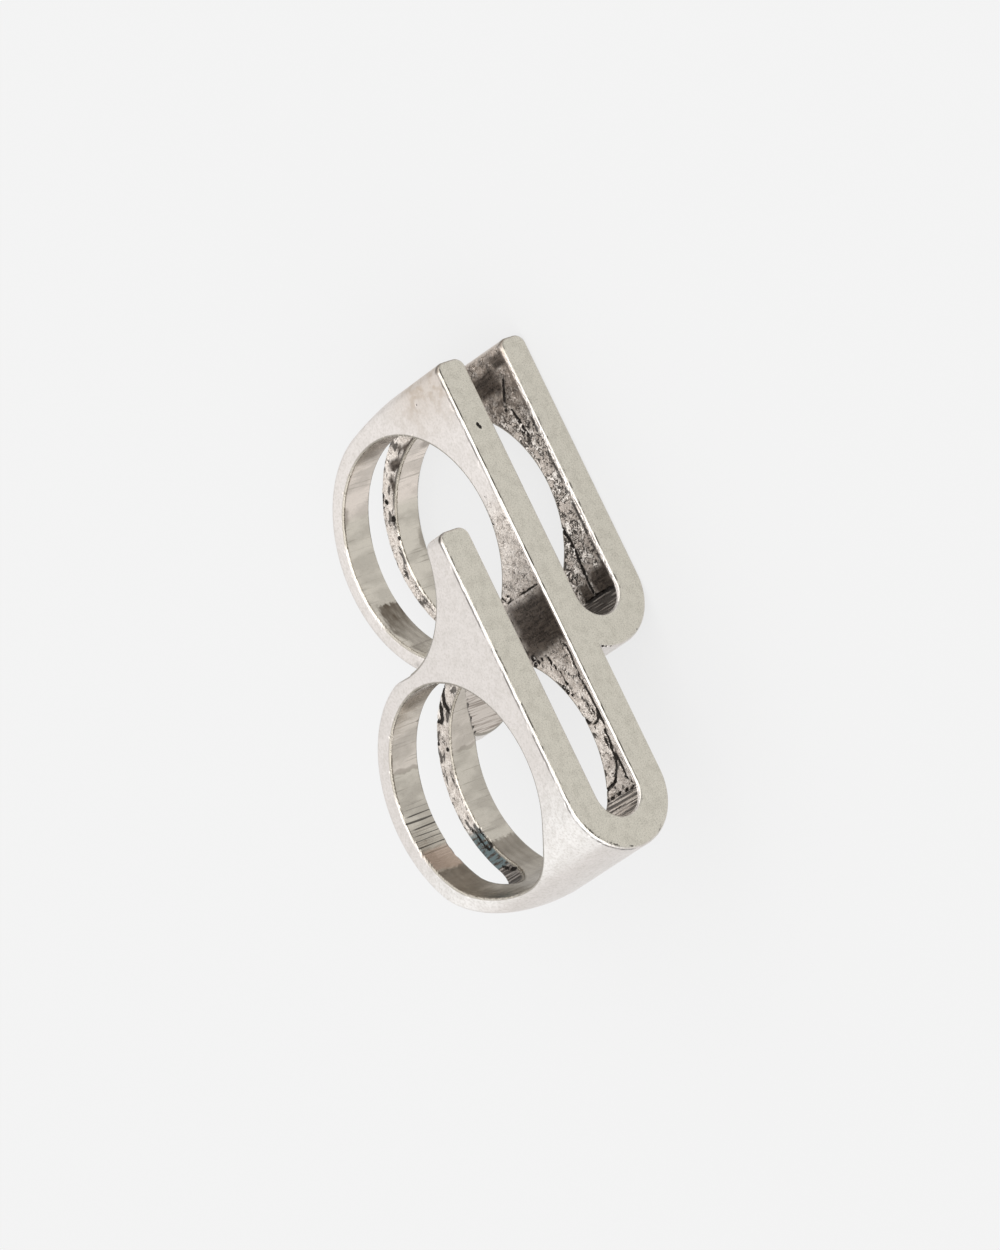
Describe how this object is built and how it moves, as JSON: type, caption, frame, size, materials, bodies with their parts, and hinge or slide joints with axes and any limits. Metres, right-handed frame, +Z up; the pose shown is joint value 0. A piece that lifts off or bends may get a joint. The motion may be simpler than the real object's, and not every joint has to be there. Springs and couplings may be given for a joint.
{
  "type": "two-finger ring",
  "caption": "Two-finger ring cast in one piece: flat-faced bars form two staggered U shapes over a pair of round finger holes, with satin faces and rough-cast slots.",
  "frame": {"origin": "on the ground, under the middle of the ring's box as it lies on its side", "axes": "+Z up from the ground, nearly along the finger holes; +X along the bars towards their tips; the flat face of the bars looks along -Y"},
  "size_m": [0.0394, 0.0216, 0.0158],
  "materials": {
    "silver": "satin outside, smooth in the finger holes, rough as cast in the slots"
  },
  "bodies": {
    "root": {"double_ring": "silver"}
  },
  "joints": []
}
